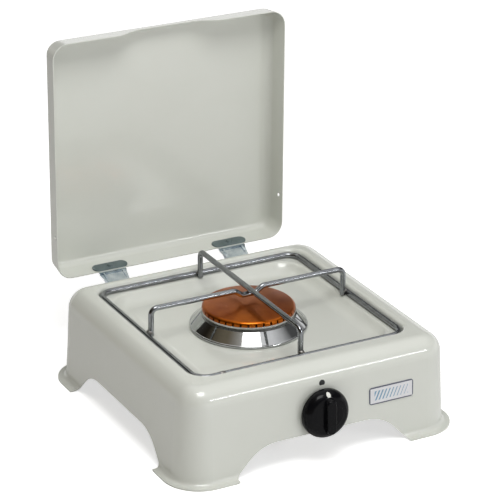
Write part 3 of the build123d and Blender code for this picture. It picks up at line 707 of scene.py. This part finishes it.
@dataclass
class Grate(Assembly):
    """The lift-off wire grate with the weld beads that hold its wires together.

    Attributes:
        body: Moving body that the beads ride on.
        bead: Size of a bead at the foot of an arm.
        bead_spread: Its level radii, in bead sizes.
        bead_rise: Its upright radius, in bead sizes.
        bead_level: Its height over the middle of the ring's wire, in wire radii.
        bead_outset: From the end of the arm's centre line outwards to it, in wire radii.
        joint_place: From the ring's left side to the joint where its wire is closed.
        joint_length: Length of that joint's bead.
        joint_swell: Its radius, in wire radii.
    """

    body: str = "grate"
    finishes: dict[str, Finish] = field(
        default_factory=lambda: {n: WIRE_CHROME for n in ("grate_ring", "grate_long_arm", "grate_cross_arm")}
    )
    bead: float = 0.0030
    bead_spread: float = 1.15
    bead_rise: float = 0.8
    bead_level: float = 0.9
    bead_outset: float = 0.55
    joint_place: float = 0.030
    joint_length: float = 0.011
    joint_swell: float = 1.14

    def build(self) -> list[bpy.types.Object]:
        """Makes one bead at each foot of an arm, and one where the ring's wire is closed.

        Returns:
            The beads.
        """
        ring_low, ring_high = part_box("grate_ring")
        level = (ring_low.z + ring_high.z) / 2
        made = []
        for node, axis in (("grate_long_arm", 1), ("grate_cross_arm", 0)):
            low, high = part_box(node)
            wire = (high[1 - axis] - low[1 - axis]) / 2
            for side, end in (("low", low[axis] + wire), ("high", high[axis] - wire)):
                spot = [0.0, 0.0, level + wire * self.bead_level]
                spot[axis] = end + (-wire if side == "low" else wire) * self.bead_outset
                spot[1 - axis] = (low[1 - axis] + high[1 - axis]) / 2
                spread = self.bead * self.bead_spread
                bead = ball(tuple(spot), (spread, spread, self.bead * self.bead_rise))
                name = f"weld_{node.removeprefix('grate_')}_{side}"
                made.append(surface(name, bead, WELD_STEEL, self.body))
        ring_wire = (ring_high.z - ring_low.z) / 2
        joint = (ring_low.x + self.joint_place, ring_low.y + ring_wire, level)
        swell = (self.joint_length / 2, ring_wire * self.joint_swell, ring_wire * self.joint_swell)
        made.append(surface("weld_ring", ball(joint, swell), WELD_STEEL, self.body))
        return made


@dataclass
class Burner(Assembly):
    """Burner body, cap, bright cone, screws and the air shutter, which ride on their own bodies."""

    finishes: dict[str, Finish] = field(
        default_factory=lambda: {
            "burner_base": CAST_ALLOY,
            "burner_cap": COPPER_ENAMEL,
            "drip_ring": MIRROR_CONE,
            "burner_screws": PLATED_STEEL,
            "burner_nuts": PLATED_STEEL,
            "air_shutter": ZINC_SHEET,
        }
    )


@dataclass
class GasWay(Assembly):
    """Tap, knob, pipe and hose tail."""

    finishes: dict[str, Finish] = field(
        default_factory=lambda: {
            "knob": BLACK_GLOSS,
            "knob_mark": WHITE_INLAY,
            "tap_stem": PLATED_STEEL,
            "tap_body": TAP_BRASS,
            "tap_cover": TAP_BRASS,
            "tap_plug": TAP_BRASS,
            "tap_screws": PLATED_STEEL,
            "return_spring": PLATED_STEEL,
            "injector": TAP_BRASS,
            "gas_pipe": PIPE_PAINT,
            "hose_nozzle": TAP_BRASS,
            "inlet_nut": TAP_BRASS,
        }
    )


@dataclass
class Lid(Assembly):
    """The lid with its brackets, and the channels and pins that it turns on."""

    def __post_init__(self) -> None:
        """Gives both sides the same finishes."""
        self.finishes = {"lid": ENAMEL, "hinge_rivets": PLATED_STEEL}
        for side in ("left", "right"):
            self.finishes |= {
                f"lid_bracket_{side}": ZINC_SHEET,
                f"hinge_base_{side}": ZINC_SHEET,
                f"hinge_pin_{side}": PLATED_STEEL,
                f"rivet_plate_{side}": GREY_COAT,
                f"lid_rivet_{side}": GREY_COAT,
            }


# ------------------------------------------------------------------ light and camera


@dataclass(frozen=True)
class SoftBox:
    """A rectangular lamp that faces a point.

    Attributes:
        name: The lamp's name.
        place: Where it hangs.
        target: The point that it faces.
        width: Its width in metres.
        height: Its height in metres.
        watts: Its power.
        colour: Its colour.
    """

    name: str
    place: Point
    target: Point
    width: float
    height: float
    watts: float
    colour: Colour = (1.0, 1.0, 1.0)

    def hang(self) -> bpy.types.Object:
        """Makes the lamp.

        Returns:
            The lamp's object.
        """
        lamp = bpy.data.lights.new(self.name, "AREA")
        lamp.shape = "RECTANGLE"
        lamp.size, lamp.size_y = self.width, self.height
        lamp.energy, lamp.color = self.watts, self.colour
        holder = bpy.data.objects.new(self.name, lamp)
        bpy.context.scene.collection.objects.link(holder)
        holder.location = self.place
        holder.rotation_euler = (Vector(self.target) - Vector(self.place)).to_track_quat("-Z", "Y").to_euler()
        return holder


@dataclass
class Studio:
    """Pale floor, pale surroundings, soft lamps and the camera.

    Attributes:
        azimuth: Where the camera stands around the stove, from the front.
        elevation: Its angle above the table.
        roll: Its turn about the line of sight.
        distance: From the camera to the point it looks at.
        look_at: That point.
        lens: Focal length in millimetres.
        clips: Nearest and farthest distance that the camera sees.
        walls: Stops of the room's brightness, as rise of the line of sight and grey. The two ends come first.
        left_fall: Share of the left tint for a line of sight along +X; below 0, so that only -X is tinted.
        left_tint: Factor on the room's light at the far left.
        floor_half: Half the side of the floor.
        floor_grey: Its base colour.
        floor_roughness: Its roughness.
        floor_glow: Its own light, as the camera sees it.
        boxes: The lamps.
    """

    azimuth: float = math.radians(-28.35)
    elevation: float = math.radians(23.23)
    roll: float = math.radians(0.49)
    distance: float = 2.7258
    look_at: Point = (0.0769, 0.1278, 0.0965)
    lens: float = 180.78
    clips: tuple[float, float] = (0.05, 50.0)
    walls: tuple[tuple[float, float], ...] = (
        (0.0, 1.03), (1.0, 1.0), (0.18, 1.0), (0.27, 0.10), (0.58, 0.10), (0.80, 0.95)
    )
    left_fall: float = -1.8
    left_tint: Colour = (0.19, 0.16, 0.11)
    floor_half: float = 6.0
    floor_grey: float = 0.92
    floor_roughness: float = 0.9
    floor_glow: Colour = (0.62, 0.62, 0.62)
    boxes: tuple[SoftBox, ...] = (
        SoftBox("front_top", (-0.20, -0.62, 1.52), (0.0, 0.0, 0.1), 0.70, 0.62, 10.5, (1.0, 1.0, 0.985)),
        SoftBox("front_right", (0.90, -1.75, 0.95), (0.0, 0.0, 0.1), 0.62, 0.10, 5.0, (0.97, 0.99, 1.0)),
    )

    def floor(self) -> bpy.types.Object:
        """Makes the floor: a square under the feet that glows for the camera alone, so that it shows pale.

        Returns:
            The floor's object.
        """
        half = self.floor_half
        corner = np.array([[[-half, -half, 0], [half, -half, 0]], [[-half, half, 0], [half, half, 0]]], float)
        mesh = bpy.data.meshes.new("floor")
        mesh.from_pydata(corner.reshape(-1, 3).tolist(), [], grid_faces(2, 2, closed=False).tolist())
        mat = bpy.data.materials.new("pale_floor")
        mat.use_nodes = True
        shader = mat.node_tree.nodes["Principled BSDF"]
        shader.inputs["Base Color"].default_value = (self.floor_grey, self.floor_grey, self.floor_grey, 1.0)
        shader.inputs["Roughness"].default_value = self.floor_roughness
        graph = Graph(mat.node_tree)
        seen = graph.add("ShaderNodeLightPath").outputs["Is Camera Ray"]
        graph.join(graph.blend(seen, (0.0, 0.0, 0.0), self.floor_glow), shader.inputs["Emission Color"])
        shader.inputs["Emission Strength"].default_value = 1.0
        mesh.materials.append(mat)
        ground = bpy.data.objects.new("floor", mesh)
        bpy.context.scene.collection.objects.link(ground)
        ground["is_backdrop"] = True
        return ground

    def surroundings(self) -> None:
        """Lights the room, and shows plain white behind the stove.

        What the stove sees is bright at the horizon, dark in a band above it and bright overhead, by the rise
        of the line of sight. Its left side is dimmer and warmer.
        """
        world = bpy.data.worlds.new("room")
        bpy.context.scene.world = world
        world.use_nodes = True
        graph = Graph(world.node_tree)
        back = world.node_tree.nodes["Background"]
        parts = graph.add("ShaderNodeSeparateXYZ")
        graph.join(graph.add("ShaderNodeTexCoord").outputs["Generated"], parts.inputs[0])
        shade_by_rise = graph.add("ShaderNodeValToRGB")
        ramp = shade_by_rise.color_ramp
        ready = len(ramp.elements)
        for index, (rise, grey) in enumerate(self.walls):
            stop = ramp.elements[index] if index < ready else ramp.elements.new(rise)
            stop.position, stop.color = rise, (grey, grey, grey, 1.0)
        graph.join(parts.outputs["Z"], shade_by_rise.inputs["Fac"])
        aside = graph.maths("MULTIPLY", parts.outputs["X"], self.left_fall)
        shade = graph.blend(aside, (1.0, 1.0, 1.0), self.left_tint)
        room = graph.add("ShaderNodeVectorMath", operation="MULTIPLY")
        graph.join(shade_by_rise.outputs["Color"], room.inputs[0])
        graph.join(shade, room.inputs[1])
        seen = graph.add("ShaderNodeLightPath").outputs["Is Camera Ray"]
        graph.join(graph.blend(seen, room.outputs[0], (1.0, 1.0, 1.0)), back.inputs["Color"])

    def camera(self) -> bpy.types.Object:
        """Makes the camera on its line of sight.

        Its back points along (sin a cos e, -cos a cos e, sin e), for azimuth a and elevation e.

        Returns:
            The camera's object.
        """
        a, e = self.azimuth, self.elevation
        back = Vector((math.sin(a) * math.cos(e), -math.cos(a) * math.cos(e), math.sin(e)))
        data = bpy.data.cameras.new("camera")
        data.lens = self.lens
        data.clip_start, data.clip_end = self.clips
        holder = bpy.data.objects.new("camera", data)
        bpy.context.scene.collection.objects.link(holder)
        holder.rotation_mode = "QUATERNION"
        turn = (-back).to_track_quat("-Z", "Y")
        holder.rotation_quaternion = turn @ Quaternion((0.0, 0.0, 1.0), self.roll)
        holder.location = Vector(self.look_at) + back * self.distance
        bpy.context.scene.camera = holder
        return holder

    def set_up(self) -> None:
        """Makes everything around the stove."""
        self.floor()
        self.surroundings()
        for box in self.boxes:
            box.hang()
        self.camera()
        bpy.context.scene.view_settings.view_transform = "Standard"


def corners() -> list[list[float]]:
    """Lowest and highest corner of what is shown now, as plain numbers."""
    return [list(corner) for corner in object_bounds()]


def main() -> None:
    """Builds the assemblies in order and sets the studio."""
    logging.basicConfig(level=logging.INFO, format="%(message)s")
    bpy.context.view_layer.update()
    for assembly in (Shell(), Grate(), Burner(), GasWay(), Lid()):
        assembly.dress()
        pieces = assembly.build()
        name = type(assembly).__name__
        log.info("%s: %d nodes dressed, %d pieces made", name, len(assembly.finishes), len(pieces))
    Studio().set_up()


if __name__ == "__main__":
    main()
